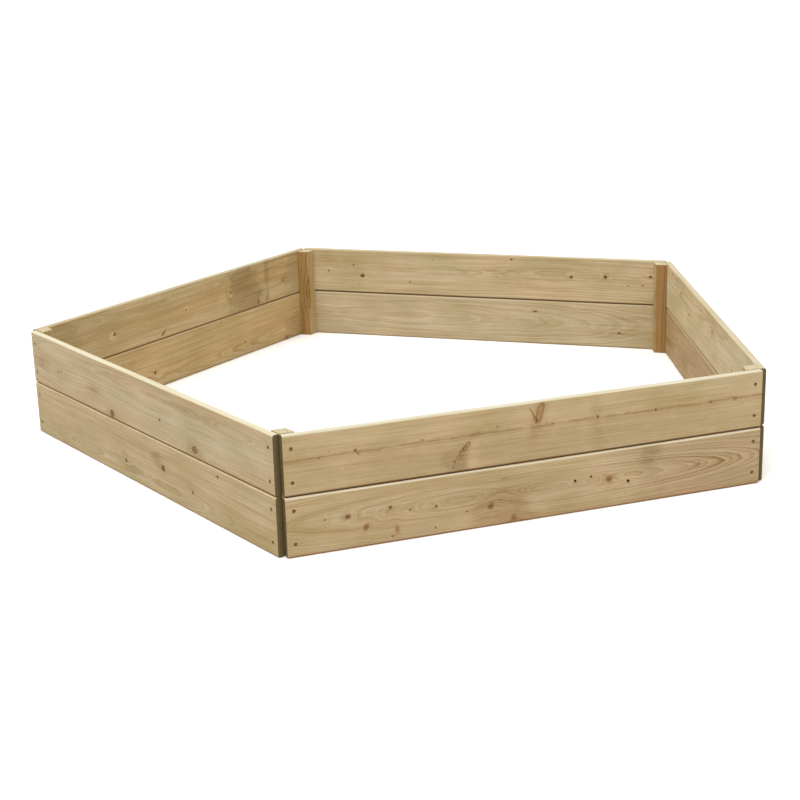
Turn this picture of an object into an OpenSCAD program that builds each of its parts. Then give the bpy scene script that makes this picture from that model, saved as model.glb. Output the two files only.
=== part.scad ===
// Five-sided garden sandbox frame, open at the top and at the bottom. Each side is two rows
// of planks, one above the other, screwed to a post in each inside corner.
// The origin is on the ground, in the middle of the frame's bounding box. +X runs along the
// front side, +Y runs from the front side to the rear corner, and +Z is up.

/* [Frame] */
// Inside length of a side, which is also the length of a plank
side_l = 1000; // [700:10:1400]
// Gap between the lower and the upper row of planks
row_gap = 1; // [0.5:0.5:3]

/* [Planks] */
// Height of a plank
plank_w = 120; // [95:1:145]
// Thickness of a plank
plank_t = 16; // [14:0.5:22]
// Radius of the four long edges of a plank
edge_r = 5; // [2:0.5:6]

/* [Posts] */
// Thickness of the board that the posts are ripped from
post_t = 28; // [26:1:45]
// How much shorter a post is than the two rows of planks
post_short = 4; // [0:1:10]
// How far the three posts nearest the front stand off the ground
front_post_lift = 4; // [0:1:10]
// How far the two rear posts stand off the ground
rear_post_lift = 0; // [0:1:10]

/* [Screws] */
// Length of a screw
screw_l = 30; // [25:1:35]
// Diameter of a screw's thread
thread_d = 4; // [3:0.5:4.5]
// Diameter of a screw's head
head_d = 7.5; // [7:0.5:9]
// Depth of the head below the face of the plank
head_sink = 0.8; // [0:0.1:1.5]
// Distance from the end of a plank to its screws
screw_inset = 16; // [12:1:18]
// Distance from a long edge of a plank to the nearer screw
screw_edge = 27; // [15:1:35]

/* [Hidden] */
sides = 5;
turn = 360 / sides;
corner_angle = 180 - turn;
rows = 2;
row_pitch = plank_w + row_gap;
frame_h = rows * plank_w + (rows - 1) * row_gap;

// The inside of the frame, measured from the middle of the regular pentagon
inner_apothem = side_l / 2 / tan(turn / 2);
inner_radius = side_l / 2 / sin(turn / 2);
// The planks' square-cut ends meet at their inside edges, so the outside ones stand apart
front_reach = inner_apothem + plank_t;
rear_reach = inner_radius + plank_t * sin(corner_angle / 2);
centre_y = (front_reach - rear_reach) / 2;

// A post is a rhombus, so that its faces lie flat on both planks of its corner
post_face = post_t / sin(corner_angle);
post_l = frame_h - post_short;
post_lift = [front_post_lift, front_post_lift, rear_post_lift, rear_post_lift, front_post_lift];

// Heights of the screws above the ground
screw_z = [for (row = [0:rows - 1]) for (z = [screw_edge, plank_w - screw_edge]) row * row_pitch + z];
head_rim = 0.4;
head_cone = (head_d - thread_d) / 2;
tip_l = 5;
recess_w = 1;
recess_span = 0.55 * head_d;
recess_depth = 2;
head_clearance = 0.1;
bore_clearance = 0.2;
cut = 1;
round_fn = 48;

// Sides and corners are numbered anticlockwise from above, and side k starts at corner k

// Turns the front side into side k
module on_side(k) {
    translate([0, centre_y, 0])
        rotate(k * turn)
            children();
}

// Puts the origin at corner k, with +X along side k and +Y into the frame
module at_corner(k) {
    on_side(k)
        translate([-side_l / 2, -inner_apothem, 0])
            children();
}

// Repeats a shape made for the plank that starts at a corner on the plank that ends there
module on_both_planks() {
    children();
    mirror([sin(corner_angle / 2), -cos(corner_angle / 2), 0])
        children();
}

// Section of a plank, with its lower outside corner at the origin
module plank_section() {
    translate([edge_r, 0])
        square([plank_t - 2 * edge_r, plank_w]);
    translate([0, edge_r])
        square([plank_t, plank_w - 2 * edge_r]);
    for (x = [edge_r, plank_t - edge_r])
        for (y = [edge_r, plank_w - edge_r])
            translate([x, y])
                circle(r = edge_r, $fn = round_fn);
}

// Screw along +Z, with the top of its head at the origin
module screw_blank() {
    rotate_extrude($fn = round_fn)
        polygon([
            [0, 0],
            [head_d / 2, 0],
            [head_d / 2, head_rim],
            [thread_d / 2, head_rim + head_cone],
            [thread_d / 2, screw_l - tip_l],
            [0, screw_l]
        ]);
}

module screw() {
    difference() {
        screw_blank();
        for (a = [0, 90])
            rotate(a)
                cube([recess_w, recess_span, 2 * recess_depth], center = true);
    }
}

// Countersunk clearance hole for a screw, along +Z from the face of the plank
module screw_bore() {
    bore_r = thread_d / 2 + bore_clearance;
    seat_z = head_sink + head_rim;
    seat_cone = head_d / 2 - bore_r;
    translate([0, 0, -cut])
        cylinder(h = cut + seat_z, r = head_d / 2 + head_clearance, $fn = round_fn);
    translate([0, 0, seat_z])
        cylinder(h = seat_cone, r1 = head_d / 2, r2 = bore_r, $fn = round_fn);
    cylinder(h = plank_t + cut, r = bore_r, $fn = round_fn);
}

// Puts a shape made along +Z at a height on the outside face of the plank that starts at a corner
module on_plank_face(z, sink = 0) {
    translate([screw_inset, sink - plank_t, z])
        rotate([-90, 0, 0])
            children();
}

// The screws that enter the post of a corner, in that corner's own axes
module corner_screws() {
    on_both_planks()
        for (z = screw_z)
            on_plank_face(z, head_sink)
                children();
}

// Plank of side k in a row, counted from the ground
module plank(k, row) {
    on_side(k)
        difference() {
            translate([-side_l / 2, -inner_apothem - plank_t, row * row_pitch])
                rotate([90, 0, 90])
                    linear_extrude(height = side_l)
                        plank_section();
            for (end = [0, 1])
                mirror([end, 0, 0])
                    for (z = [screw_edge, plank_w - screw_edge])
                        translate([-side_l / 2, -inner_apothem, row * row_pitch])
                            on_plank_face(z)
                                screw_bore();
        }
}

// Post of corner k, with the pilot holes that its screws fill
module post(k) {
    a = [post_face, 0];
    b = post_face * [cos(corner_angle), sin(corner_angle)];
    at_corner(k)
        difference() {
            translate([0, 0, post_lift[k]])
                linear_extrude(height = post_l)
                    polygon([[0, 0], a, a + b, b]);
            corner_screws()
                screw_blank();
        }
}

// The eight screws of corner k
module screws(k) {
    at_corner(k)
        corner_screws()
            screw();
}

module front_lower_plank() {
    color("tan") plank(0, 0);
}

module front_upper_plank() {
    color("burlywood") plank(0, 1);
}

module right_lower_plank() {
    color("tan") plank(1, 0);
}

module right_upper_plank() {
    color("burlywood") plank(1, 1);
}

module rear_right_lower_plank() {
    color("tan") plank(2, 0);
}

module rear_right_upper_plank() {
    color("burlywood") plank(2, 1);
}

module rear_left_lower_plank() {
    color("tan") plank(3, 0);
}

module rear_left_upper_plank() {
    color("burlywood") plank(3, 1);
}

module left_lower_plank() {
    color("tan") plank(4, 0);
}

module left_upper_plank() {
    color("burlywood") plank(4, 1);
}

module front_left_post() {
    color("peru") post(0);
}

module front_right_post() {
    color("peru") post(1);
}

module right_post() {
    color("peru") post(2);
}

module rear_post() {
    color("peru") post(3);
}

module left_post() {
    color("peru") post(4);
}

module front_left_screws() {
    color("saddlebrown") screws(0);
}

module front_right_screws() {
    color("saddlebrown") screws(1);
}

module right_screws() {
    color("saddlebrown") screws(2);
}

module rear_screws() {
    color("saddlebrown") screws(3);
}

module left_screws() {
    color("saddlebrown") screws(4);
}

front_lower_plank();
front_upper_plank();
right_lower_plank();
right_upper_plank();
rear_right_lower_plank();
rear_right_upper_plank();
rear_left_lower_plank();
rear_left_upper_plank();
left_lower_plank();
left_upper_plank();
front_left_post();
front_right_post();
right_post();
rear_post();
left_post();
front_left_screws();
front_right_screws();
right_screws();
rear_screws();
left_screws();
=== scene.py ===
"""Looks of a five-sided garden sandbox frame: ten planks, five corner posts and forty screws."""
import math
import random
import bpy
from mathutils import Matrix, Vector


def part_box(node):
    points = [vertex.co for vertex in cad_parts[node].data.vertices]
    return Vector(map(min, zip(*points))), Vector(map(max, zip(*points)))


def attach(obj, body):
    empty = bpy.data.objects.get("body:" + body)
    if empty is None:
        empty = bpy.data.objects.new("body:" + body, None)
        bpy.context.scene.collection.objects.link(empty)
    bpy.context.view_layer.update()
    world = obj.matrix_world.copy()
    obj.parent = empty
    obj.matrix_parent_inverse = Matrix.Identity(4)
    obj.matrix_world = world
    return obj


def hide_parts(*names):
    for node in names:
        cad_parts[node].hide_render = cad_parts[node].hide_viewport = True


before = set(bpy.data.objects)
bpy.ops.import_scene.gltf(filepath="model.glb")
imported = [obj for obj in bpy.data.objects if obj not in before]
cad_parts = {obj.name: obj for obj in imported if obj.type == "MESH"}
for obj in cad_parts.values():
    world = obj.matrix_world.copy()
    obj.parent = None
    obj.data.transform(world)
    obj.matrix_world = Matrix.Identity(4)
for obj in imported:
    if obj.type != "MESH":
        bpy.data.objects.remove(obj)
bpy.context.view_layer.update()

from types import SimpleNamespace

import bmesh
import bpy
from mathutils import Euler, Matrix, Vector, noise

MM = 0.001

# ---- sizes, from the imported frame
SIDES = 5
TURN = 2 * math.pi / SIDES
FRONT_LO, FRONT_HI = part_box("front_lower_plank")
POST_LO, POST_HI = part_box("front_left_post")
PLANK_L = FRONT_HI.x - FRONT_LO.x
PLANK_T = FRONT_HI.y - FRONT_LO.y
PLANK_W = FRONT_HI.z - FRONT_LO.z
ROW_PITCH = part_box("front_upper_plank")[0].z - FRONT_LO.z
APOTHEM = PLANK_L / 2 / math.tan(TURN / 2)
CENTRE_Y = FRONT_HI.y + APOTHEM
POST_T = POST_HI.y - POST_LO.y
POST_FACE = POST_HI.x - FRONT_LO.x

# Edges of the timber: the planks' radius is the CAD model's, and the rest is wear
PLANK_EDGE_R = 5 * MM
PLANK_EASE = 0.6 * MM
PLANK_WEAR = 0.25 * MM
POST_EDGE_R = 1 * MM
POST_EASE = 0.5 * MM
POST_WEAR = 0.2 * MM
# Longest facets of the timber, along the grain and across it
GRAIN_STEP = 3 * MM
PLANK_STEP = 3 * MM
POST_STEP = 2 * MM
# How far a cutter reaches beyond what it cuts
OVERSHOOT = 2 * MM
# Faces that meet at more than this are shaded as an edge
SHARP_ANGLE = math.radians(35)

# Screws and their bores, as in the CAD model
SCREW_L = 30 * MM
THREAD_R = 2 * MM
HEAD_R = 3.75 * MM
HEAD_SINK = 0.8 * MM
HEAD_RIM = 0.4 * MM
SCREW_INSET = 16 * MM
SCREW_EDGE = 27 * MM
SCREW_Z = (SCREW_EDGE, PLANK_W - SCREW_EDGE, ROW_PITCH + SCREW_EDGE, ROW_PITCH + PLANK_W - SCREW_EDGE)
BORE_R = 2.2 * MM
SEAT_R = 3.85 * MM
TIP_L = 5 * MM
# Finer shape of a screw, within the CAD one
HEAD_BEVEL = 0.12 * MM
SHANK_R = 1.45 * MM
CORE_R = 1.25 * MM
THREAD_START = 11 * MM
THREAD_END = SCREW_L - 0.5 * MM
THREAD_PITCH = 2.1 * MM
THREAD_HALF_WIDTH = 0.32 * MM

# ---- mesh helpers


def new_piece(name, mesh, matrix=None):
    """Links a mesh as an object, smooth except along its sharp edges"""
    mesh.polygons.foreach_set("use_smooth", [True] * len(mesh.polygons))
    mesh.set_sharp_from_angle(angle=SHARP_ANGLE)
    piece = bpy.data.objects.new(name, mesh)
    bpy.context.scene.collection.objects.link(piece)
    piece.matrix_world = matrix or Matrix.Identity(4)
    return piece


def steps(start, end, longest):
    """Numbers from start up to, but not including, end, no further apart than longest"""
    count = max(1, math.ceil(abs(end - start) / longest))
    return [start + (end - start) * i / count for i in range(count)]


def rounded_outline(corners, radius, longest, arc_steps):
    """Points and outward normals round a convex polygon with rounded corners"""
    points = []
    count = len(corners)
    for i, corner in enumerate(corners):
        before = (corners[i - 1] - corner).normalized()
        after = (corners[(i + 1) % count] - corner).normalized()
        half = before.angle(after) / 2
        centre = corner + (before + after).normalized() * (radius / math.sin(half))
        reach = radius / math.tan(half)
        first = (corner + before * reach - centre).normalized()
        last = (corner + after * reach - centre).normalized()
        for s in range(arc_steps + 1):
            normal = first.slerp(last, s / arc_steps)
            points.append((centre + normal * radius, normal))
        # The straight edge to the next corner
        following = corners[(i + 1) % count]
        start = centre + last * radius
        ahead = (corners[(i + 2) % count] - following).normalized()
        next_half = (-after).angle(ahead) / 2
        end = following - after * (radius / math.tan(next_half))
        length = (end - start).length
        for d in steps(0, length, longest)[1:]:
            points.append((start + after * d, last))
    return points


def bridge(building, rings):
    """Joins each ring of vertices to the next with faces, and closes the first and the last"""
    for lower, upper in zip(rings, rings[1:]):
        for i in range(len(lower)):
            j = (i + 1) % len(lower)
            building.faces.new((lower[i], lower[j], upper[j], upper[i]))
    building.faces.new(rings[0])
    building.faces.new(rings[-1])


def finished_mesh(name, building):
    """Turns a bmesh into a mesh with outward normals"""
    bmesh.ops.recalc_face_normals(building, faces=building.faces)
    mesh = bpy.data.meshes.new(name)
    building.to_mesh(mesh)
    building.free()
    return mesh


def bar_mesh(name, length, outline, ease, relief):
    """Bar along X with eased ends. relief(point) says how far the surface lies below its outline"""
    ring_x = [0, ease * 0.3, ease] + steps(ease, length - ease, GRAIN_STEP)[1:]
    ring_x += [length - ease, length - ease * 0.3, length]
    end_inset = {0: ease, 1: ease * 0.3}
    building = bmesh.new()
    rings = []
    for i, x in enumerate(ring_x):
        inset = end_inset.get(min(i, len(ring_x) - 1 - i), 0)
        ring = []
        for point, normal in outline:
            on_surface = Vector((x, point.x, point.y))
            outward = Vector((0, normal.x, normal.y))
            ring.append(building.verts.new(on_surface - outward * (inset + relief(on_surface))))
        rings.append(ring)
    bridge(building, rings)
    return finished_mesh(name, building)


def lathe(building, profile, segments, matrix):
    """Adds a solid of revolution about Z to a bmesh. profile is (radius, height) from axis to axis"""
    rings = []
    for radius, height in profile:
        if radius == 0:
            rings.append([building.verts.new(matrix @ Vector((0, 0, height)))])
            continue
        angles = [2 * math.pi * s / segments for s in range(segments)]
        spots = [Vector((radius * math.cos(a), radius * math.sin(a), height)) for a in angles]
        rings.append([building.verts.new(matrix @ spot) for spot in spots])
    for lower, upper in zip(rings, rings[1:]):
        for s in range(segments):
            t = (s + 1) % segments
            corners = [lower[s % len(lower)], lower[t % len(lower)]]
            corners += [upper[t % len(upper)], upper[s % len(upper)]]
            building.faces.new(list(dict.fromkeys(corners)))


def carve(mesh, cutter_mesh):
    """The mesh with the cutter's solids taken away"""
    target = bpy.data.objects.new("carve_target", mesh)
    cutter = bpy.data.objects.new("carve_cutter", cutter_mesh)
    for helper in (target, cutter):
        bpy.context.scene.collection.objects.link(helper)
    cut = target.modifiers.new("cut", "BOOLEAN")
    cut.operation = "DIFFERENCE"
    cut.solver = "MANIFOLD"
    cut.object = cutter
    bpy.context.view_layer.update()
    graph = bpy.context.evaluated_depsgraph_get()
    carved = bpy.data.meshes.new_from_object(target.evaluated_get(graph))
    carved.name = mesh.name
    for helper in (target, cutter):
        bpy.data.objects.remove(helper)
    return carved


# ---- shader helpers


def srgb(red, green, blue):
    """Linear colour of an 8-bit sRGB one"""
    def linear(value):
        share = value / 255
        return share / 12.92 if share <= 0.04045 else ((share + 0.055) / 1.055) ** 2.4
    return (linear(red), linear(green), linear(blue), 1)


class Shader:
    """Short calls that add nodes to one material or group tree and return their outputs"""

    def __init__(self, tree):
        self.tree = tree

    def node(self, kind, inputs=None, **settings):
        """A new node with its settings, and its inputs by name or number"""
        made = self.tree.nodes.new(kind)
        for name, value in settings.items():
            setattr(made, name, value)
        for name, value in (inputs or {}).items():
            self.feed(made.inputs[name], value)
        return made

    def feed(self, socket, value):
        if isinstance(value, bpy.types.NodeSocket):
            self.tree.links.new(value, socket)
        elif value is not None:
            socket.default_value = value

    def math(self, operation, first, second=None, third=None, clamp=False):
        inputs = {0: first, 1: second, 2: third}
        return self.node("ShaderNodeMath", inputs, operation=operation, use_clamp=clamp).outputs[0]

    def plus(self, first, second):
        return self.math("ADD", first, second)

    def times(self, first, second, clamp=False):
        return self.math("MULTIPLY", first, second, clamp=clamp)

    def times_plus(self, first, second, third, clamp=False):
        """first * second + third"""
        return self.math("MULTIPLY_ADD", first, second, third, clamp)

    def vector(self, operation, first, second=None):
        made = self.node("ShaderNodeVectorMath", {0: first, 1: second}, operation=operation)
        return made.outputs["Value" if operation in ("DOT_PRODUCT", "LENGTH") else "Vector"]

    def combine(self, x, y, z):
        return self.node("ShaderNodeCombineXYZ", {0: x, 1: y, 2: z}).outputs[0]

    def noise(self, place, scale=None, detail=2.0, roughness=0.5, colour=False):
        """3D noise at a vector, or 1D noise at a number, either of them multiplied by the scale"""
        flat = place.type == "VALUE"
        if scale:
            place = self.times(place, scale) if flat else self.scaled(place, scale)
        inputs = {"W" if flat else "Vector": place, "Scale": 1.0, "Detail": detail, "Roughness": roughness}
        made = self.node("ShaderNodeTexNoise", inputs, noise_dimensions="1D" if flat else "3D")
        return made.outputs["Color" if colour else "Fac"]

    def smooth(self, value, low, high, at_low=0.0, at_high=1.0):
        """Goes smoothly from at_low to at_high as value goes from low to high"""
        inputs = {0: value, 1: low, 2: high, 3: at_low, 4: at_high}
        return self.node("ShaderNodeMapRange", inputs, interpolation_type="SMOOTHSTEP").outputs["Result"]

    def ramp(self, value, stops):
        made = self.node("ShaderNodeValToRGB", {"Fac": value})
        elements = made.color_ramp.elements
        while len(elements) < len(stops):
            elements.new(0.5)
        for element, (position, colour) in zip(elements, stops):
            element.position = position
            element.color = colour
        return made.outputs["Color"]

    def mix(self, share, first, second, blend="MIX"):
        inputs = {0: share, 6: first, 7: second}
        return self.node("ShaderNodeMix", inputs, data_type="RGBA", blend_type=blend).outputs[2]

    def bell(self, value, centre, width):
        """1 at centre, falling to 0 over a few widths"""
        offset = self.math("DIVIDE", self.math("SUBTRACT", value, centre), width)
        return self.math("EXPONENT", self.times(self.times(offset, offset), -1.0))

    def scaled(self, place, by):
        return self.vector("MULTIPLY", place, by)

    def split(self, vector):
        """The three numbers of a vector"""
        return self.node("ShaderNodeSeparateXYZ", {0: vector}).outputs

    def jitter(self, place, scale, reach):
        """Random vector about zero, up to half of reach on each axis"""
        centred = self.vector("SUBTRACT", self.noise(place, scale, colour=True), (0.5, 0.5, 0.5))
        return self.scaled(centred, reach)

    def hypotenuse(self, first, second):
        squares = self.plus(self.times(first, first), self.times(second, second))
        return self.math("SQRT", squares)

    def tinted(self, colour, tint, share=1.0):
        """The colour multiplied by a tint, or part of the way there"""
        return self.mix(share, colour, tint, "MULTIPLY")

    def surface(self, colour, roughness, relief, bump_strength):
        """Ends a material in one shader, with a bump from a relief in metres, and returns the shader"""
        bump = self.node("ShaderNodeBump", {"Strength": bump_strength, "Distance": 1.0, "Height": relief})
        inputs = {"Base Color": colour, "Roughness": roughness, "Normal": bump.outputs["Normal"]}
        shader = self.node("ShaderNodeBsdfPrincipled", inputs)
        self.node("ShaderNodeOutputMaterial", {"Surface": shader.outputs[0]})
        return shader


def empty_material(name):
    """A material with nothing in its node tree yet, and the calls that fill it"""
    material = bpy.data.materials.new(name)
    material.use_nodes = True
    material.node_tree.nodes.clear()
    return material, Shader(material.node_tree)


def grey(value):
    return (value, value, value, 1)


# ---- wood

# How fine each noise in the wood is, in cycles per metre along, through and across the board
WARP_SCALE = (30.0, 70.0, 70.0)
FINE_WARP_SCALE = (170.0, 170.0, 170.0)
WAVE_SCALE = (13.0, 60.0, 60.0)
CRINKLE_SCALE = (60.0, 150.0, 150.0)
FIBRE_SCALE = (6.0, 290.0, 290.0)
FLECK_SCALE = (130.0, 900.0, 900.0)
BAND_SCALE = (1.6, 16.0, 24.0)
CLOUD_SCALE = (9.0, 14.0, 14.0)
RAGGED_SCALE = (30.0, 34.0, 34.0)
SPECKLE_SCALE = (160.0, 160.0, 160.0)
PORE_SCALE = (900.0, 900.0, 900.0)
# The same for the strands, along the board and across the rings
STRAND_SCALE = (3.0, 330.0)
# The same for noises that change only along the board
DRIFT_SCALE = 3.1
SWAY_SCALE = 1.7
WOBBLE_SCALE = 9.0
JITTER_SCALE = 75.0
BREAK_SCALE = 26.0
HEART_SCALE = 22.0
# The same for the uneven width of the rings, in cycles per ring
UNEVEN_SCALE = 0.45

# How far the noises bend knots and patches, rings, streaks and the border of the heart
WARP_REACH = (7 * MM, 3 * MM, 5 * MM)
FINE_WARP_REACH = (5 * MM, 2 * MM, 4 * MM)
WAVE_REACH = 2.6 * MM
CRINKLE_REACH = 1.1 * MM
WOBBLE_REACH = 9 * MM
JITTER_REACH = 2.4 * MM
HEART_WANDER = 9 * MM

# Heights of the relief: late wood, fibres, knot rims, streaks and the pores of sawn ends
LATE_RELIEF = 0.05 * MM
FIBRE_RELIEF = 0.16 * MM
RIM_RELIEF = -0.25 * MM
STREAK_RELIEF = -0.15 * MM
PORE_RELIEF = 0.5 * MM

# Darkness across one ring, from early to late wood, and the tints and colours
RING_PROFILE = [(0, grey(0.0)), (0.4, grey(0.22)), (0.8, grey(1.0)), (0.9, grey(0.9)), (1, grey(0.0))]
FIBRE_TINTS = [(0.28, (0.82, 0.78, 0.66, 1)), (0.52, grey(1.0)), (0.76, (1.11, 1.14, 1.23, 1))]
STRAND_TINTS = [(0.3, (0.84, 0.79, 0.67, 1)), (0.5, grey(1.0)), (0.7, (1.08, 1.11, 1.19, 1))]
CLOUD_TINTS = [(0.3, (0.82, 0.82, 0.72, 1)), (0.5, (0.91, 0.905, 0.87, 1)), (0.7, (1.0, 0.965, 0.975, 1))]
PATCH_TINTS = [(0.0, (0.30, 0.22, 0.07, 1)), (0.5, grey(1.0)), (1.0, (1.35, 1.38, 1.45, 1))]
PORE_TINTS = [(0.3, grey(0.75)), (0.7, grey(1.1))]
LATE_END_TINT = grey(0.6)
FLECK_TINT = srgb(196, 174, 150)
HALO_TINT = srgb(222, 196, 156)
KNOT_TINTS = [
    (0.0, srgb(180, 144, 96)), (0.35, srgb(140, 100, 56)), (0.65, srgb(100, 69, 38)), (1.0, srgb(30, 23, 15))]
RIM_COLOUR = srgb(96, 64, 30)
STREAK_COLOUR = srgb(118, 86, 48)
# Painted shade for the flats inside the seam
SEAM_SHADE_COLOUR = srgb(124, 88, 44)


KNOT_SUMS = ("Lift", "Body", "Tone", "Rim")


def knot_group():
    """Adds what one knot does to running sums: ring lift, body, tone and rim"""
    tree = bpy.data.node_groups.new("knot", "ShaderNodeTree")
    face = tree.interface
    for name in ("Point", "Centre", "Along", "Across", "Through"):
        face.new_socket(name, in_out="INPUT", socket_type="NodeSocketVector")
    for name in ("Ring Lift", "Presence", "Darkness", "Rim Darkness") + KNOT_SUMS:
        face.new_socket(name, in_out="INPUT", socket_type="NodeSocketFloat")
    for name in KNOT_SUMS:
        face.new_socket(name, in_out="OUTPUT", socket_type="NodeSocketFloat")
    g = Shader(tree)
    given = g.node("NodeGroupInput").outputs
    out = g.node("NodeGroupOutput").inputs
    offset = g.vector("SUBTRACT", given["Point"], given["Centre"])
    along = g.vector("DOT_PRODUCT", offset, given["Along"])
    across = g.vector("DOT_PRODUCT", offset, given["Across"])
    along_2 = g.times(along, along)
    across_2 = g.times(across, across)
    through = g.vector("DOT_PRODUCT", offset, given["Through"])
    across_2 = g.times_plus(through, through, across_2)
    distance = g.math("SQRT", g.plus(along_2, across_2))
    # Rings bend round it for about four radii along the board and two and a half across it
    flow = g.plus(g.times(along_2, -0.06), g.times(across_2, -0.16))
    lift = g.times(g.math("EXPONENT", flow), given["Ring Lift"])
    body = g.times(g.smooth(distance, 0.6, 1.15, 1.0, 0.0), given["Presence"])
    rim = g.times(g.bell(distance, 0.92, 0.22), given["Rim Darkness"])
    inner_rings = g.times_plus(g.math("SINE", g.times(distance, 11.0)), 0.16, 0.95)
    inner_rings = g.times(inner_rings, g.smooth(distance, 0.1, 1.0, 1.3, 0.75))
    tone = g.times(g.times(body, given["Darkness"]), inner_rings)
    for name, value in zip(KNOT_SUMS, (lift, body, tone, rim)):
        g.feed(out[name], g.plus(given[name], value))
    return tree


KNOT = knot_group()


def add_knots(g, point, board):
    """Sums of ring lift, body, tone and rim over a board's knots, which go through it unless knot_y is set"""
    sums = dict.fromkeys(KNOT_SUMS, 0.0)
    knot_y = board["knot_y"]
    through_y = 0 if knot_y is None else knot_y * MM
    for along, height, radius, stretch, angle, tone, *rim in board["knots"]:
        turned = math.radians(angle)
        inputs = {
            "Point": point, "Centre": (along * MM, through_y, height * MM),
            "Along": Vector((math.cos(turned), 0, math.sin(turned))) / (radius * stretch * MM),
            "Across": Vector((-math.sin(turned), 0, math.cos(turned))) / (radius * MM),
            "Through": (0, 0 if knot_y is None else 1 / (radius * MM), 0),
            "Ring Lift": 0.9 * radius * MM,
            "Presence": min(1.0, 0.25 + 1.6 * tone) if tone else 0.0,
            "Darkness": tone, "Rim Darkness": rim[0] if rim else 0.6 * tone, **sums,
        }
        outputs = g.node("ShaderNodeGroup", inputs, node_tree=KNOT).outputs
        sums = {name: outputs[name] for name in KNOT_SUMS}
    return sums


def wood_spot(g, seed):
    """The shaded point in the board's own axes: plain, shifted by the seed and warped, and its normal"""
    place = g.node("ShaderNodeTexCoord")
    local = place.outputs["Object"]
    shifted = g.vector("ADD", local, (seed * 3.7, seed * 1.9, seed * 5.3))
    warped = g.vector("ADD", local, g.jitter(shifted, WARP_SCALE, WARP_REACH))
    warped = g.vector("ADD", warped, g.jitter(shifted, FINE_WARP_SCALE, FINE_WARP_REACH))
    x, y, z = g.split(local)
    facing = g.split(place.outputs["Normal"])
    return SimpleNamespace(x=x, y=y, z=z, shifted=shifted, warped=warped, facing=facing)


def growth(g, spot, lift, board):
    """Distance from the pith that the rings follow, which knots lift and noises ripple"""
    depth, height, lean, bow, wander = board["pith"]
    seed = board["seed"] * 7.3
    drift = g.noise(g.times_plus(spot.x, DRIFT_SCALE, seed), detail=1.0)
    sway = g.noise(g.times_plus(spot.x, SWAY_SCALE, seed + 40), detail=1.0)
    drift = g.times_plus(drift, 2 * wander * MM, (depth - wander) * MM)
    from_middle = g.math("SUBTRACT", spot.x, PLANK_L / 2)
    bowed = g.times_plus(g.times(from_middle, from_middle), bow, drift)
    depth_here = g.times_plus(from_middle, lean, bowed)
    height_here = g.times_plus(sway, 2 * wander * MM, (height - wander) * MM)
    radius = g.hypotenuse(g.plus(spot.y, depth_here), g.math("SUBTRACT", spot.z, height_here))
    wave = g.noise(spot.shifted, WAVE_SCALE, detail=2.0)
    crinkle = g.noise(spot.shifted, CRINKLE_SCALE, detail=1.0)
    ripple = g.times_plus(crinkle, CRINKLE_REACH, g.times_plus(wave, WAVE_REACH, lift))
    return g.plus(radius, ripple)


def late_wood(g, flow, ring):
    """How dark the rings are, 0 to 1: uneven in width, and each of its own strength"""
    rings = g.math("DIVIDE", flow, ring)
    uneven = g.times_plus(g.noise(rings, UNEVEN_SCALE, detail=0.0), 1.6, rings)
    strength = g.node("ShaderNodeTexWhiteNoise", {"W": g.math("FLOOR", uneven)}, noise_dimensions="1D")
    weight = g.times_plus(strength.outputs["Value"], 0.7, 0.3)
    return g.times(g.ramp(g.math("FRACT", uneven), RING_PROFILE), weight)


def streak_sum(g, spot, board):
    """Thin dark lines along the grain, such as the pith or a resin seam"""
    total = 0.0
    for height, width, strength in board["streaks"]:
        wobble = g.noise(spot.x, WOBBLE_SCALE, detail=3.0)
        jitter = g.noise(spot.x, JITTER_SCALE, detail=2.0)
        bent = g.times_plus(jitter, JITTER_REACH, spot.z)
        bent = g.times_plus(wobble, WOBBLE_REACH, bent)
        line = g.bell(bent, height * MM + (WOBBLE_REACH + JITTER_REACH) / 2, width * MM)
        broken = g.noise(spot.x, BREAK_SCALE, detail=2.0)
        broken = g.times(g.smooth(broken, 0.3, 0.6, 0.45, 1.0), strength)
        total = g.plus(g.times(line, broken), total)
    return total


def patch_sum(g, spot, cloud, board):
    """Darker or paler areas with ragged borders, broken up by the clouds"""
    total = 0.0
    ragged = g.noise(spot.warped, RAGGED_SCALE, detail=4.0)
    ragged = g.times_plus(ragged, 1.7, -0.85)
    for along, height, half_length, half_height, strength in board["patches"]:
        offset = g.vector("SUBTRACT", spot.warped, (along * MM, 0, height * MM))
        in_halves = g.scaled(offset, (1 / (half_length * MM), 0, 1 / (half_height * MM)))
        reach = g.plus(g.vector("LENGTH", in_halves), ragged)
        total = g.times_plus(g.smooth(reach, *board["border"], 1.0, 0.0), strength, total)
    return g.times(total, g.smooth(cloud, 0.3, 0.65, 0.45, 1.2))


def heart_share(g, spot, lift, board):
    """1 in the redder heartwood, with an uneven border that bulges round knots"""
    centre_y, centre_z, radius = board["heart"]
    away = g.hypotenuse(g.math("SUBTRACT", spot.y, centre_y * MM), g.math("SUBTRACT", spot.z, centre_z * MM))
    border = g.noise(spot.x, HEART_SCALE, detail=2.0)
    away = g.times_plus(border, HEART_WANDER, away)
    away = g.times_plus(lift, -2.0, away)
    inside = radius * MM + HEART_WANDER / 2
    return g.smooth(away, inside - 1 * MM, inside + 1 * MM, 1.0, 0.0)


def ring_colour(g, spot, lift, late, board):
    """Early and late wood, whose rings show more round knots, with the heart in its own colour"""
    base = srgb(*board["colour"])
    if board["heart"]:
        base = g.mix(heart_share(g, spot, lift, board), base, srgb(*board["heart_colour"]))
    shown = g.smooth(spot.x, 0.55 * PLANK_L, 0.85 * PLANK_L, *board["contrast"])
    shown = g.plus(shown, g.smooth(lift, 1.5 * MM, 9 * MM, 0.0, 0.4))
    return g.tinted(base, srgb(*board["late"]), g.times(late, shown, clamp=True))


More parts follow.
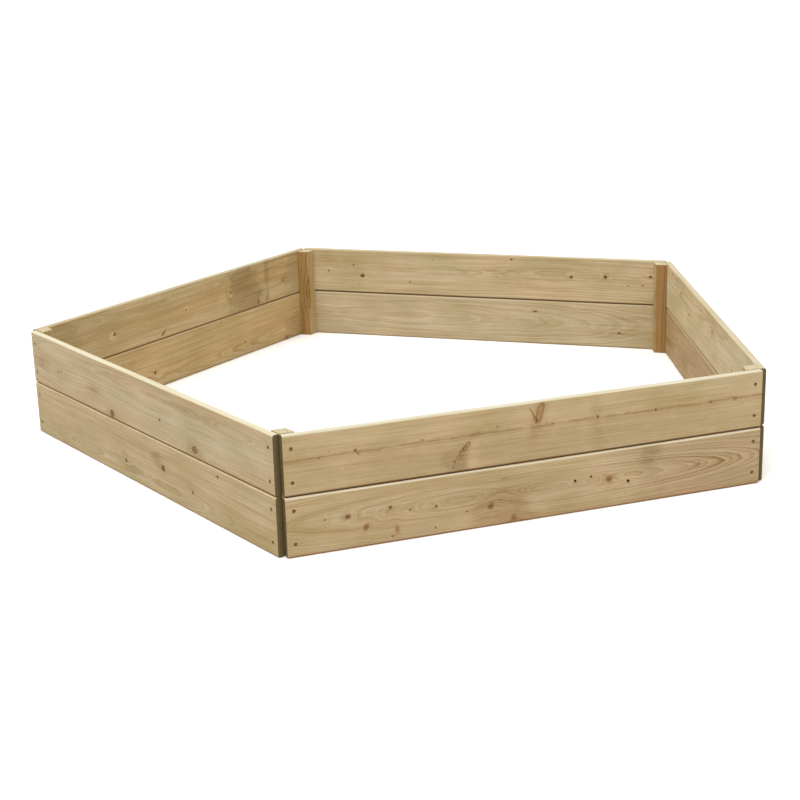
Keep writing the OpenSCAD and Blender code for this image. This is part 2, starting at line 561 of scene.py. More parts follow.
def with_grain(g, colour, spot, flow, fibre, cloud, board):
    """Fibres, strands that follow the rings, flecks, broad bands and clouds"""
    colour = g.tinted(colour, g.ramp(fibre, FIBRE_TINTS))
    along = g.times_plus(spot.x, STRAND_SCALE[0], board["seed"] * 3.1)
    strand_at = g.combine(along, g.times(flow, STRAND_SCALE[1]), 0.0)
    strand = g.noise(strand_at, detail=3.0, roughness=0.6)
    colour = g.tinted(colour, g.ramp(strand, STRAND_TINTS), board["strands"])
    fleck = g.noise(spot.shifted, FLECK_SCALE, detail=1.0)
    colour = g.tinted(colour, FLECK_TINT, g.smooth(fleck, 0.62, 0.78, 0.0, 0.5))
    band = g.noise(spot.shifted, BAND_SCALE, detail=2.0)
    colour = g.tinted(colour, srgb(*board["band"]), g.smooth(band, 0.35, 0.7, 0.0, 0.55))
    return g.tinted(colour, g.ramp(cloud, CLOUD_TINTS))


def with_stains(g, colour, spot, cloud, streaks, board):
    """Patches and streaks"""
    if board["patches"]:
        patches = g.times_plus(patch_sum(g, spot, cloud, board), -0.5, 0.5)
        colour = g.tinted(colour, g.ramp(patches, PATCH_TINTS))
    return g.mix(g.math("MINIMUM", streaks, 0.9), colour, STREAK_COLOUR)


def with_knots(g, colour, spot, knots):
    """A halo round each knot, its speckled body and its dark rim"""
    colour = g.tinted(colour, HALO_TINT, g.smooth(knots["Lift"], 0.8 * MM, 7 * MM, 0.0, 0.34))
    tone = g.math("DIVIDE", knots["Tone"], g.math("MAXIMUM", knots["Body"], 0.05), clamp=True)
    speckle = g.noise(spot.shifted, SPECKLE_SCALE, detail=2.0)
    tone = g.times_plus(speckle, 0.3, g.math("SUBTRACT", tone, 0.12), clamp=True)
    colour = g.mix(g.times(knots["Body"], 0.92, clamp=True), colour, g.ramp(tone, KNOT_TINTS))
    return g.mix(g.times(knots["Rim"], 0.72, clamp=True), colour, RIM_COLOUR)


def end_share(g, spot, length):
    """1 on the sawn ends, and 0 elsewhere, even on the walls of bores and hollows"""
    faces_end = g.smooth(g.math("ABSOLUTE", spot.facing["X"]), 0.55, 0.85)
    from_middle = g.math("ABSOLUTE", g.math("SUBTRACT", spot.x, length / 2))
    return g.times(faces_end, g.smooth(from_middle, length / 2 - 2 * MM, length / 2 - 1 * MM))


def with_end_grain(g, colour, end, late, pores, board):
    """Sawn ends, in their own colour, with darker rings and pores"""
    sawn = srgb(*board["end"])
    sawn = g.tinted(g.tinted(sawn, LATE_END_TINT, late), g.ramp(pores, PORE_TINTS))
    return g.mix(end, colour, sawn)


def with_edges(g, colour, spot, fibre, board):
    """Painted shade on the downward faces of the bottom edge and on the flats inside the seam, and paler
    planed wood with a painted highlight on the upward faces of the top edge
    """
    up = spot.facing["Z"]
    # Painted shade on the downward faces of the bottom edge, at the floor or over the seam
    under = g.smooth(up, -0.5, 0.0, board["under"], 0.0)
    under = g.times(under, g.smooth(spot.z, PLANK_EDGE_R, PLANK_EDGE_R + 1 * MM, 1.0, 0.0))
    colour = g.mix(under, colour, srgb(*board["underside_shade_colour"]))
    edge_z = PLANK_W - PLANK_EDGE_R
    # Painted highlight on the upward faces of the top edge, over partly paler planed wood
    upper = g.smooth(up, *board["upper_from"], 0.0, board["upper"])
    upper = g.times(upper, g.smooth(spot.z, edge_z - 1 * MM, edge_z))
    colour = g.mix(upper, colour, g.tinted(srgb(*board["pale_edge_and_highlight_colour"]), g.ramp(fibre, FIBRE_TINTS)))
    # Painted shade on the upward flats, which on the lower row lie inside the seam
    if board["seam"]:
        colour = g.mix(g.smooth(up, 0.86, 0.97, 0.0, board["seam"]), colour, SEAM_SHADE_COLOUR)
    return colour


def wood_material(name, board, length):
    """Softwood in the board's own axes, with its grain along X"""
    material, g = empty_material(name)
    spot = wood_spot(g, board["seed"])
    knots = add_knots(g, spot.warped, board)
    flow = growth(g, spot, knots["Lift"], board)
    late = late_wood(g, flow, board["ring"] * MM)
    fibre = g.noise(spot.shifted, FIBRE_SCALE, detail=4.0, roughness=0.7)
    cloud = g.noise(spot.shifted, CLOUD_SCALE, detail=3.0)
    pores = g.noise(spot.shifted, PORE_SCALE, detail=2.0)
    streaks = streak_sum(g, spot, board)
    end = end_share(g, spot, length)

    colour = ring_colour(g, spot, knots["Lift"], late, board)
    colour = with_grain(g, colour, spot, flow, fibre, cloud, board)
    colour = with_stains(g, colour, spot, cloud, streaks, board)
    colour = with_knots(g, colour, spot, knots)
    colour = with_end_grain(g, colour, end, late, pores, board)
    colour = with_edges(g, colour, spot, fibre, board)

    relief = g.times(late, LATE_RELIEF)
    relief = g.times_plus(fibre, FIBRE_RELIEF, relief)
    relief = g.times_plus(knots["Rim"], RIM_RELIEF, relief)
    relief = g.times_plus(streaks, STREAK_RELIEF, relief)
    relief = g.times_plus(g.times(end, pores), PORE_RELIEF, relief)
    roughness = g.times_plus(fibre, 0.22, g.times_plus(late, -0.08, 0.56))
    shader = g.surface(colour, roughness, relief, bump_strength=0.6)
    shader.inputs["Specular IOR Level"].default_value = 0.2
    return material


# What every board has unless its own entry says otherwise, in millimetres and degrees. pith is (depth in
# front of the outside face, height, lean and bow along the board, wander), ring is the width of a year's
# growth, and contrast is how much the rings show towards either end. A knot is (along the board, height
# across it, radius, stretch, angle, tone, rim). Its tone runs from 0, which only bends the rings, to 1,
# black and dead, and its rim is 0.6 of the tone unless it is given. Knots lie knot_y deep, or go right
# through. A streak is (height, width, strength). A patch is (along, height, half length, half height,
# strength), darker above 0, and fades out between the two borders. A heart is (y, z, radius) of redder wood
BOARD = {
    "pith": (45, 60, 0.0, 0.0, 6), "ring": 2.3, "contrast": (0.55, 0.55), "strands": 1.0,
    "colour": (186, 163, 122), "late": (200, 178, 156), "band": (250, 238, 226), "end": (104, 88, 58),
    # The under entries paint shade along the bottom edge, seam paints shade on the flats inside the seam, and
    # the upper entries give the top edge paler wood with a painted highlight
    "under": 0.85, "underside_shade_colour": (136, 88, 44), "seam": 0.0,
    "upper": 0.7, "pale_edge_and_highlight_colour": (194, 180, 146), "upper_from": (0.2, 0.7),
    "knots": [], "knot_y": None, "streaks": [], "patches": [], "border": (0.3, 1.3), "heart": None,
}

BOARDS = {
    "front_lower_plank": {
        "colour": (178, 159, 125), "late": (204, 175, 143), "pith": (15, 64, 0.0, 0.114, 4),
        "ring": 2.4, "contrast": (0.4, 1.0),
        "upper": 0.9, "pale_edge_and_highlight_colour": (204, 195, 168), "upper_from": (0.02, 0.4),
        "knots": [
            (75, 67, 2.6, 1.2, 0, 0.35), (73, 55, 1.3, 1, 0, 0.3), (121, 66, 5, 1.1, 0, 0.6),
            (155, 39, 5, 1.5, 60, 0.45), (203, 72, 4.2, 1.1, 0, 0.55), (196, 63, 1.8, 1, 0, 0.5),
            (242, 60, 2.6, 1.4, 20, 0.55), (295, 60, 2.6, 1.7, 25, 0.5), (216, 26, 4.2, 1.9, 100, 0.35),
            (206, 13, 2.2, 1, 0, 0.65), (294, 16, 1.6, 1.6, 90, 0.7), (357, 38, 1.6, 1.5, 10, 0.6),
            (407, 43, 6.5, 1.2, 40, 0.5), (455, 12, 7.5, 1, 0, 0.4), (436, 95, 1.8, 4, 5, 0.3),
            (424, 46, 11, 1.4, 20, 0), (464, 16, 9, 1.2, -20, 0),
            (586, 67, 3.0, 1, 0, 1), (621, 71, 2.2, 1, 0, 0.9), (660, 60, 7.5, 1.1, 0, 0.45, 0.25),
            (701, 50, 3.0, 1.2, 20, 1), (725, 119, 4, 3, 0, 0.1),
        ],
        "patches": [
            (745, 100, 26, 36, 0.36), (470, 34, 24, 22, 0.15), (900, 60, 190, 90, 0.13),
            (690, 40, 44, 26, -0.3), (430, 76, 150, 34, 0.14), (60, 60, 90, 70, -0.08),
            (340, 18, 60, 18, -0.2), (610, 100, 46, 16, -0.22), (500, 20, 30, 14, -0.25),
        ],
    },
    "front_upper_plank": {
        "colour": (178, 159, 123), "pith": (9, 76, 0.0, 0.0, 2), "contrast": (0.3, 0.3),
        "strands": 0.45, "upper": 0.9, "pale_edge_and_highlight_colour": (200, 194, 172),
        "knots": [
            (68, 68, 1.4, 1.3, 20, 0.7), (88, 77, 1.4, 1.5, 20, 0.4), (139, 73, 3.2, 1.1, 0, 0.55),
            (143, 67, 2.4, 1.3, -30, 0.45), (270, 74, 1.4, 1.4, 0, 0.7), (381, 70, 4, 1.1, 0, 0.05, 0.4),
            (359, 49, 3.8, 2.6, 50, 0.12, 1.0), (353, 48, 1.5, 3.0, 46, 0.6), (344, 36, 1.8, 2.6, 60, 0.45),
            (349, 33, 1.6, 2.4, 40, 0.4), (347, 26, 1.6, 3.0, 66, 0.35), (337, 22, 1.6, 2.2, 62, 0.35),
            (342, 17, 1.4, 2.0, 50, 0.3), (331, 12, 1.4, 2.4, 60, 0.3),
            (422, 80, 1.3, 1.8, 90, 0.55), (511, 96, 7.2, 2.7, 74, 0.3, 0.85), (496, 95, 1.3, 14, 118, 0.45),
            (500, 84, 3.5, 2.2, 80, 0.3, 0.3), (503, 79, 1.6, 3, 80, 0.6), (537, 71, 2.4, 1.2, 0, 0.4),
            (634, 72, 2.6, 1.3, 80, 0.6), (759, 69, 2.2, 1.2, 60, 0.65), (882, 69, 2.6, 1.6, 20, 0.5),
            (937, 68, 3.2, 1.6, -30, 0.35, 0.6),
        ],
        "streaks": [(70, 1.9, 0.42), (69, 6.0, 0.22)],
        "patches": [
            (628, 85, 18, 50, 0.12), (610, 60, 16, 70, -0.1), (628, 25, 24, 30, 0.12),
            (760, 95, 14, 22, 0.1), (500, 30, 600, 34, 0.16), (352, 42, 18, 20, 0.18),
            (330, 20, 30, 24, 0.3), (374, 30, 16, 34, -0.22),
        ],
    },
    "right_lower_plank": {
        "colour": (168, 144, 105), "pith": (38, 45, 0.02, 0.03, 6),
        "knots": [(240, 70, 6, 1.2, 20, 0.5), (560, 36, 5, 1.2, 0, 0.6), (815, 80, 4, 1.2, 0, 0.7)],
    },
    "right_upper_plank": {
        "colour": (192, 176, 142), "pith": (50, 105, -0.015, 0.02, 6), "contrast": (0.25, 0.25),
        "strands": 0.8,
        "knots": [
            (230, 49, 3, 1.5, 90, 0.7), (430, 80, 6, 1.1, 0, 0.3), (684, 55, 4, 1.2, 0, 0.7),
            (783, 87, 4, 1.2, 0, 0.7), (901, 108, 4, 1.2, 0, 0.7),
        ],
    },
    "rear_right_lower_plank": {
        "colour": (180, 165, 135), "pith": (-66, 62, 0.03, -0.04, 6), "contrast": (0.38, 0.38),
        "under": 0.25, "seam": 0.6,
        "knots": [
            (117, 40, 3, 1.6, 0, 0.8), (117, 40, 1.6, 16, 0, 0.35, 0.0),
            (345, 90, 3, 1.6, 0, 0.7), (345, 90, 1.6, 12, 0, 0.35, 0.0),
        ],
        "streaks": [(40, 1.5, 0.12)],
        # The pale patch towards the rear post is painted light that brightens the shade in that corner
        "patches": [(930, 60, 150, 90, -0.14)],
    },
    "rear_right_upper_plank": {
        "colour": (183, 165, 131), "pith": (-50, 70, 0.0, 0.0, 6), "contrast": (0.45, 0.45),
        "knots": [
            (37, 76, 3.4, 1.5, 0, 0.8), (57, 52, 1.6, 1.6, 0, 0.7), (97, 49, 1.8, 1, 0, 0.7),
            (157, 71, 3.6, 1.1, 0, 0.9), (248, 67, 3.4, 1.2, 0, 0.75), (365, 45, 2.4, 1, 0, 0.2),
            (409, 109, 3, 1.2, 0, 0.8), (630, 100, 1.4, 1, 0, 0.6), (693, 37, 2.6, 1, 0, 0.6),
            (831, 49, 4.2, 1.6, 0, 0.85), (844, 23, 1.4, 1.4, 0, 0.8), (854, 78, 2.7, 1.1, 0, 0.75),
            (928, 59, 2.7, 1, 0, 0.6), (470, 77, 1.5, 18, 2, 0.3, 0.0), (318, 68, 1.3, 14, 0, 0.25, 0.0),
        ],
        "streaks": [(74, 1.8, 0.14)],
        # The first pale patch, towards the rear post, is painted light that brightens the shade in that
        # corner
        "patches": [(930, 60, 150, 90, -0.16), (100, 60, 160, 90, -0.1)],
    },
    "rear_left_lower_plank": {
        "colour": (185, 162, 116), "late": (206, 170, 132), "pith": (-54, 26, -0.03, 0.02, 7),
        "contrast": (0.5, 0.5), "under": 0.3, "seam": 0.6,
        "knots": [
            (92, 5, 6.5, 1.2, 20, 0.45), (272, 38, 2.8, 1.2, 0, 0.8), (624, 42, 3.6, 1.2, 30, 0.85),
            (703, 84, 5, 1.1, 0, 0.1),
        ],
        "patches": [(40, 20, 60, 50, 0.25)],
    },
    "rear_left_upper_plank": {
        "colour": (186, 164, 122), "pith": (-44, 96, 0.015, 0.02, 7), "contrast": (0.35, 0.35),
        "band": (238, 220, 188), "border": (0.75, 1.0), "underside_shade_colour": (150, 104, 52),
        "knots": [
            (98, 51, 6, 1.3, 0, 0.3, 0.0), (135, 82, 4.5, 1, 0, 0.15), (227, 44, 2.6, 1.2, 0, 0.3),
            (319, 63, 4.5, 1.1, 0, 0.4, 0.6), (494, 53, 2.8, 1.1, 0, 0.75), (584, 14, 3.4, 3.2, 148, 0.5),
            (755, 51, 4.5, 1.1, 0, 0.5, 0.7),
        ],
        "patches": [
            (262, 62, 70, 110, 0.42), (166, 70, 12, 80, 0.3), (186, 20, 26, 34, 0.2), (40, 50, 60, 70, 0.15),
            (356, 30, 24, 46, -0.3), (761, 50, 15, 13, -1.0), (322, 62, 9, 12, -0.8), (492, 56, 8, 9, -0.6),
            (930, 70, 60, 60, 0.18),
        ],
    },
    "left_lower_plank": {
        "colour": (171, 154, 120), "pith": (36, 26, 0.02, 0.02, 6), "contrast": (0.42, 0.42),
        "under": 0.35,
        "knots": [
            (421, 40, 4.2, 1.2, 0, 0.8), (581, 65, 6.5, 1.1, 0, 0.7, 0.9), (697, 44, 3.6, 1.1, 0, 0.75),
            (796, 105, 3.2, 1.2, 0, 0.8), (200, 24, 2.4, 1, 0, 0.4),
        ],
        "patches": [
            (556, 80, 24, 20, 0.32), (400, 90, 160, 26, 0.12), (415, 52, 16, 14, 0.2), (690, 56, 14, 12, 0.2),
        ],
        "streaks": [(86, 2.0, 0.12)],
    },
    "left_upper_plank": {
        "colour": (171, 156, 127), "pith": (34, 92, -0.01, 0.02, 6), "contrast": (0.38, 0.38),
        "band": (250, 230, 214), "underside_shade_colour": (150, 104, 56),
        "upper": 0.9, "pale_edge_and_highlight_colour": (204, 196, 170),
        "knots": [
            (41, 54, 7, 1.5, 0, 0.0, 0.35), (126, 49, 2.8, 1.3, 0, 0.8), (140, 54, 2.4, 1, 0, 0.75),
            (295, 44, 7, 1.6, 0, 0.0, 0.35), (374, 12, 7.5, 1.15, 0, 0.55, 1.3), (580, 48, 3.6, 1.2, 0, 0.75),
            (715, 18, 7, 1.2, 0, 0.5, 1.3), (727, 8, 4, 2.2, -30, 0.1, 0.0),
        ],
    },
}

# What the lower and the upper row of planks have in common, among it the painted shade in the seam and under
# the upper row's bottom edge, and the colour of the upper row's pale top edge with its painted highlight
ROWS = ({"seam": 0.9}, {"underside_shade_colour": (104, 68, 30), "pale_edge_and_highlight_colour": (186, 176, 150)})

POST_BOARD = {
    "pith": (60, 14, 0.0, 0.0, 3), "ring": 2.6, "contrast": (0.7, 0.7), "colour": (184, 160, 114),
    "late": (178, 150, 118), "heart_colour": (160, 127, 77), "end": (198, 184, 150),
    "under": 0.0, "upper": 0.0,
}
POSTS = {
    "right_post": {"pith": (30, 6, 0, 0, 2), "contrast": (1.0, 1.0), "heart": (-8, 31, 27)},
    "rear_post": {
        "pith": (30, -8, 0, 0, 2), "contrast": (0.9, 0.9), "heart": (35, 6, 26),
        "knots": [(118, 26, 4.5, 2.4, 0, 0.3, 0.6)], "knot_y": 22,
    },
}

# Seeds of the first plank and the first post, from which the others count up
PLANK_SEED = 1
POST_SEED = 21

# ---- timber pieces

# Waves per metre of the planed faces, along and across them
WEAR_ALONG = 6
WEAR_ACROSS = 40
# A knot darker than this tone has shrunk below the face, and a paler one stands nearer to it
FLAT_TONE = 0.3
KNOT_DIP = 0.5 * MM

# The crack at the far end of the front upper plank
CHECK_L = 44 * MM
CHECK_W = 1.1 * MM
CHECK_DEPTH = 7 * MM
CHECK_Z = 63 * MM
CHECK_WANDER = 0.8 * MM
CHECK_START_W = 0.14 * MM
CHECK_ROWS = 14

# Hollows: (along, height, half length, half width, depth, angle), in millimetres and degrees
DEAD_KNOTS = [(586, 67, 2.6, 2.4, 6, 0), (621, 71, 1.8, 1.6, 4, 0), (701, 50, 2.8, 2.3, 6, 20)]
# The torn grain's top, along and up the plank, its run down from there, and how its gouges lean
TORN_GOUGES = 34
TORN_TOP = (364, 56)
TORN_RUN = (-40, -44)
TORN_ANGLE = 52


def side_matrix(side):
    """Puts the origin at the inside corner where a side starts, with X along it and Y into the frame"""
    turned = Matrix.Translation((0, CENTRE_Y, 0)) @ Matrix.Rotation(side * TURN, 4, "Z")
    return turned @ Matrix.Translation((-PLANK_L / 2, -APOTHEM, 0))


def plank_matrix(side, row):
    """Puts the origin at the lower outside corner where a plank starts"""
    return side_matrix(side) @ Matrix.Translation((0, -PLANK_T, row * ROW_PITCH))


def worn(board, depth):
    """Relief of a planed face: slow waves, and dips at dark knots"""
    seed = Vector((board["seed"] * 5.1, 0, 0))

    def relief(point):
        stretched = Vector((point.x * WEAR_ALONG, point.y * WEAR_ACROSS, point.z * WEAR_ACROSS)) + seed
        below = depth * (0.5 + 0.5 * noise.noise(stretched))
        for along, height, radius, _, _, tone, *_ in board["knots"]:
            near = math.hypot(point.x - along * MM, point.z - height * MM) / (radius * MM)
            if near < 2:
                below += (tone - FLAT_TONE) * KNOT_DIP * math.exp(-near * near * 1.5)
        return max(below, 0)

    return relief


def screw_bores():
    """Countersunk holes at both ends of a plank, in the plank's own axes"""
    building = bmesh.new()
    seat = HEAD_SINK + HEAD_RIM
    through = PLANK_T + OVERSHOOT
    profile = [
        (0, -OVERSHOOT), (SEAT_R, -OVERSHOOT), (SEAT_R, seat),
        (BORE_R, seat + HEAD_R - BORE_R), (BORE_R, through), (0, through),
    ]
    into_face = Matrix.Rotation(-math.pi / 2, 4, "X")
    for x in (SCREW_INSET, PLANK_L - SCREW_INSET):
        for z in (SCREW_EDGE, PLANK_W - SCREW_EDGE):
            lathe(building, profile, 40, Matrix.Translation((x, 0, z)) @ into_face)
    return finished_mesh("screw_bores", building)


def drying_check():
    """Thin wedge that opens the crack, in the plank's own axes"""
    building = bmesh.new()
    rings = []
    for i in range(CHECK_ROWS + 1):
        share = i / CHECK_ROWS
        x = PLANK_L - CHECK_L * (1 - share) + (OVERSHOOT if i == CHECK_ROWS else 0)
        z = CHECK_Z + CHECK_WANDER * math.sin(7 * share) * (1 - share)
        half = CHECK_W / 2 * share ** 0.7 + CHECK_START_W / 2
        deep = CHECK_DEPTH * (0.25 + 0.75 * share)
        wedge = [(x, -OVERSHOOT, z - half), (x, -OVERSHOOT, z + half), (x, deep, z)]
        rings.append([building.verts.new(point) for point in wedge])
    bridge(building, rings)
    return finished_mesh("drying_check", building)


def pits(places):
    """Hollows in the outside face of a plank, in the plank's own axes"""
    building = bmesh.new()
    arc_steps = 8
    arc = [math.pi * i / arc_steps for i in range(arc_steps + 1)]
    ball = [(math.sin(a) if 0 < a < math.pi else 0, -math.cos(a)) for a in arc]
    for along, height, half_length, half_width, depth, angle in places:
        turned = Matrix.Rotation(-math.radians(angle), 4, "Y")
        shape = Matrix.Diagonal((half_length * MM, depth * MM, half_width * MM, 1))
        lathe(building, ball, 14, Matrix.Translation((along * MM, 0, height * MM)) @ turned @ shape)
    return finished_mesh("pits", building)


def torn_grain():
    """Short slanting gouges below the branch knot of the front upper plank, wider spread towards the foot"""
    dice = random.Random(4)
    places = []
    for i in range(TORN_GOUGES):
        share = i / (TORN_GOUGES - 1)
        spread = 1.5 + 5 * share
        along = TORN_TOP[0] + TORN_RUN[0] * share + dice.uniform(-spread, spread)
        height = TORN_TOP[1] + TORN_RUN[1] * share + dice.uniform(-spread, spread)
        half_length = dice.uniform(1.6, 3.2)
        depth = dice.uniform(0.5, 1.0) * (1.2 - 0.6 * share)
        half_width = dice.uniform(0.5, 0.85)
        angle = TORN_ANGLE + dice.uniform(-16, 16)
        places.append((along, height, half_length, half_width, depth, angle))
    return places


def timber_piece(node, mesh, board, length, matrix):
    """The piece that replaces a node, in its own wood"""
    mesh.materials.clear()
    mesh.materials.append(wood_material(node + "_wood", board, length))
    piece = new_piece(node + "_timber", mesh, matrix)
    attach(piece, "root")
    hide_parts(node)
    return piece


def make_plank(node, side, row):
    board = {**BOARD, **ROWS[row], **BOARDS[node], "seed": PLANK_SEED + 2 * side + row}
    corners = [Vector(c) for c in ((0, 0), (PLANK_T, 0), (PLANK_T, PLANK_W), (0, PLANK_W))]
    outline = rounded_outline(corners, PLANK_EDGE_R, PLANK_STEP, arc_steps=8)
    mesh = bar_mesh(node + "_mesh", PLANK_L, outline, PLANK_EASE, worn(board, PLANK_WEAR))
    mesh = carve(mesh, screw_bores())
    if node == "front_upper_plank":
        mesh = carve(mesh, drying_check())
        mesh = carve(mesh, pits(torn_grain()))
    if node == "front_lower_plank":
        mesh = carve(mesh, pits(DEAD_KNOTS))
    piece = timber_piece(node, mesh, board, PLANK_L, plank_matrix(side, row))


def screw_places():
    """A corner's eight screws, each along +Z from its head, in the axes of the side that starts there"""
    half_corner = (math.pi - TURN) / 2
    across = Vector((math.sin(half_corner), -math.cos(half_corner), 0))
    places = []
    for z in SCREW_Z:
        head = Vector((SCREW_INSET, HEAD_SINK - PLANK_T, z))
        along = Vector((0, 1, 0))
        for mirrored in (False, True):
            if mirrored:
                head = head - 2 * head.dot(across) * across
                along = along - 2 * along.dot(across) * across
            turned = along.to_track_quat("Z", "Y").to_matrix().to_4x4()
            places.append(Matrix.Translation(head) @ turned)
    return places


def pilot_holes(upright):
    """What a corner's screws fill in its post, in the post's own axes"""
    building = bmesh.new()
    profile = [(0, HEAD_SINK), (THREAD_R, HEAD_SINK), (THREAD_R, SCREW_L - TIP_L), (0, SCREW_L)]
    for place in screw_places():
        lathe(building, profile, 24, upright.inverted() @ place)
    return finished_mesh("pilot_holes", building)


def make_post(node, corner):
    """Post with its own X along its length, from the foot up"""
    board = {**BOARD, **POST_BOARD, **POSTS.get(node, {}), "seed": POST_SEED + corner}
    lo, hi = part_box(node)
    lean = POST_FACE * math.cos(math.pi - TURN)
    corners = [Vector(c) for c in ((0, 0), (POST_FACE, 0), (POST_FACE + lean, POST_T), (lean, POST_T))]
    outline = rounded_outline(corners, POST_EDGE_R, POST_STEP, arc_steps=4)
    length = hi.z - lo.z
    mesh = bar_mesh(node + "_mesh", length, outline, POST_EASE, worn(board, POST_WEAR))
    upright = Matrix(((0, 1, 0, 0), (0, 0, 1, 0), (1, 0, 0, lo.z), (0, 0, 0, 1)))
    mesh = carve(mesh, pilot_holes(upright))
    piece = timber_piece(node, mesh, board, length, side_matrix(corner) @ upright)


# ---- screws

STAIN_SCALE = (700.0, 700.0, 700.0)
SCRATCH_SCALE = (2400.0, 2400.0, 500.0)
SCRATCH_RELIEF = 0.04 * MM
STEEL_TINTS = [(0.3, srgb(84, 58, 34)), (0.55, srgb(130, 94, 56)), (0.8, srgb(158, 126, 82))]
# The driver's recess narrows in steps: (depth, reach of its arms, half their width), in millimetres
RECESS = ((-0.4, 2.3, 0.58), (1.0, 1.65, 0.48), (2.0, 0.9, 0.4))


def steel_material():
    """Yellow-passivated steel that has dulled in blotches, with fine scratches"""
    material, g = empty_material("passivated_steel")
    place = g.node("ShaderNodeTexCoord").outputs["Object"]
    stain = g.noise(place, STAIN_SCALE, detail=3.0)
    scratch = g.noise(place, SCRATCH_SCALE, detail=2.0)
    roughness = g.times_plus(stain, 0.4, 0.25)
    relief = g.times(scratch, SCRATCH_RELIEF)
    shader = g.surface(g.ramp(stain, STEEL_TINTS), roughness, relief, bump_strength=0.5)
    shader.inputs["Metallic"].default_value = 0.75
    return material


def cross_cutter():
    """Tapered cross that leaves the driver's recess in a head"""
    building = bmesh.new()
    rings = []
    for depth, arm, half_width in RECESS:
        quarter = [(arm, -half_width), (arm, half_width), (half_width, half_width)]
        points = [Matrix.Rotation(q * math.pi / 2, 2) @ Vector(p) for q in range(4) for p in quarter]
        rings.append([building.verts.new((p.x * MM, p.y * MM, depth * MM)) for p in points])
    bridge(building, rings)
    return finished_mesh("cross_cutter", building)


def add_thread(building):
    """Winds a sharp ridge round the core, running out at both ends"""
    per_turn = 20
    turns = (THREAD_END - THREAD_START) / THREAD_PITCH
    count = int(turns * per_turn)
    sections = []
    for i in range(count + 1):
        angle = 2 * math.pi * i / per_turn
        z = THREAD_START + THREAD_PITCH * i / per_turn
        taper = min(1, (SCREW_L - z) / TIP_L)
        start = min(1, i / per_turn)
        core = CORE_R * taper
        root = core * 0.9
        crest = core + (THREAD_R - CORE_R) * taper * start
        half_width = THREAD_HALF_WIDTH * taper
        outward = Vector((math.cos(angle), math.sin(angle), 0))
        points = [(root, -half_width), (crest, 0), (root, half_width)]
        sections.append([building.verts.new(outward * r + Vector((0, 0, z + dz))) for r, dz in points])
    bridge(building, sections)


def screw_mesh():
    """One countersunk wood screw along +Z, with its head at the origin"""
    profile = [
        (0, 0), (HEAD_R - HEAD_BEVEL, 0), (HEAD_R, HEAD_BEVEL), (HEAD_R, HEAD_RIM),
        (SHANK_R, HEAD_RIM + HEAD_R - SHANK_R), (SHANK_R, THREAD_START - 1 * MM), (CORE_R, THREAD_START),
        (CORE_R, SCREW_L - TIP_L), (0, SCREW_L),
    ]
    blank = bmesh.new()
    lathe(blank, profile, 32, Matrix.Identity(4))
    driven = carve(finished_mesh("screw_blank", blank), cross_cutter())
    building = bmesh.new()
    building.from_mesh(driven)
    add_thread(building)
    return finished_mesh("screw", building)


def make_screws(corner, corner_name):
    """A corner's eight screws as one piece, each driven to its own angle"""
    dice = random.Random(corner)
    building = bmesh.new()
    for place in screw_places():
        one = SCREW.copy()
        one.transform(side_matrix(corner) @ place @ Matrix.Rotation(dice.uniform(0, math.pi), 4, "Z"))
        building.from_mesh(one)
        bpy.data.meshes.remove(one)
    mesh = finished_mesh(corner_name + "_screws_mesh", building)
    mesh.materials.append(STEEL)
    piece = new_piece(corner_name + "_screw_set", mesh)
    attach(piece, "root")
    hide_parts(corner_name + "_screws")


STEEL = steel_material()
SCREW = screw_mesh()

# ---- the frame

SIDE_NAMES = ("front", "right", "rear_right", "rear_left", "left")
CORNER_NAMES = ("front_left", "front_right", "right", "rear", "left")
for side, side_name in enumerate(SIDE_NAMES):
    for row, row_name in enumerate(("lower", "upper")):
        make_plank(f"{side_name}_{row_name}_plank", side, row)
for corner, corner_name in enumerate(CORNER_NAMES):
    make_post(corner_name + "_post", corner)
    make_screws(corner, corner_name)

# ---- floor, light and camera

# Half of the floor's side, in metres
FLOOR_REACH = 60
FLOOR_SHADE = 0.94
# Brightness of the sky at the horizon and overhead
SKY_LOW = 0.48
SKY_HIGH = 1.3
SUN_STRENGTH = 1.82
SUN_ANGLE = math.radians(45)
SUN_COLOUR = (1.0, 0.985, 0.95)
SUN_PLACE = (-1.5, -1.2, 3.6)
# The photograph's view: place in metres, yaw, pitch and roll in degrees, lens and sensor in millimetres
CAMERA_PLACE = (-1.2008, -3.4425, 1.1627)
CAMERA_TURNS = (19.26, 17.41, -1.57)
CAMERA_LENS = 72.03
CAMERA_SENSOR = 36
CAMERA_REACH = 200


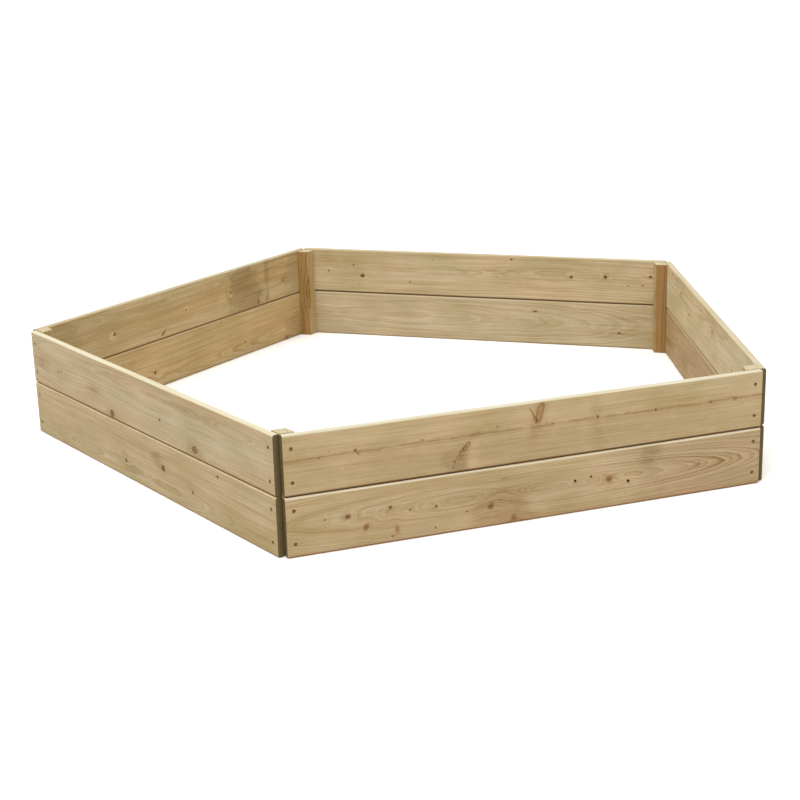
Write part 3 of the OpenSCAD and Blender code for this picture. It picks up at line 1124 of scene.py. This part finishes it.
def make_floor():
    building = bmesh.new()
    bmesh.ops.create_grid(building, x_segments=1, y_segments=1, size=FLOOR_REACH)
    floor = new_piece("floor", finished_mesh("floor_mesh", building))
    material = bpy.data.materials.new("pale_floor")
    material.use_nodes = True
    surface = material.node_tree.nodes["Principled BSDF"]
    surface.inputs["Base Color"].default_value = grey(FLOOR_SHADE)
    surface.inputs["Roughness"].default_value = 0.9
    surface.inputs["Specular IOR Level"].default_value = 0.0
    floor.data.materials.append(material)


def make_lights():
    """A soft sky, brightest overhead, and one broad sun from the front left"""
    world = bpy.data.worlds.new("studio")
    bpy.context.scene.world = world
    world.use_nodes = True
    g = Shader(world.node_tree)
    direction = g.split(g.node("ShaderNodeTexCoord").outputs["Generated"])
    sky = g.smooth(direction["Z"], 0.0, 0.9, SKY_LOW, SKY_HIGH)
    # What is seen past the floor is plain white
    seen = g.node("ShaderNodeLightPath").outputs["Is Camera Ray"]
    background = world.node_tree.nodes["Background"].inputs
    background["Color"].default_value = grey(1.0)
    g.feed(background["Strength"], g.math("MAXIMUM", sky, seen))
    sun = bpy.data.lights.new("sun", "SUN")
    sun.energy = SUN_STRENGTH
    sun.angle = SUN_ANGLE
    sun.color = SUN_COLOUR
    lamp = bpy.data.objects.new("sun", sun)
    lamp.location = SUN_PLACE
    lamp.rotation_euler = (-lamp.location).to_track_quat("-Z", "Y").to_euler()
    bpy.context.scene.collection.objects.link(lamp)


def make_camera():
    """Standing height, to the left of the front, looking down"""
    yaw, pitch, roll = (math.radians(turn) for turn in CAMERA_TURNS)
    data = bpy.data.cameras.new("camera")
    data.sensor_width = CAMERA_SENSOR
    data.lens = CAMERA_LENS
    data.clip_end = CAMERA_REACH
    camera = bpy.data.objects.new("camera", data)
    camera.location = CAMERA_PLACE
    turned = Euler((math.pi / 2 - pitch, 0, -yaw)).to_matrix() @ Matrix.Rotation(roll, 3, "Z")
    camera.rotation_euler = turned.to_euler()
    bpy.context.scene.collection.objects.link(camera)
    bpy.context.scene.camera = camera


make_floor()
make_lights()
make_camera()
bpy.context.scene.view_settings.view_transform = "Standard"
bpy.context.scene.view_settings.look = "None"
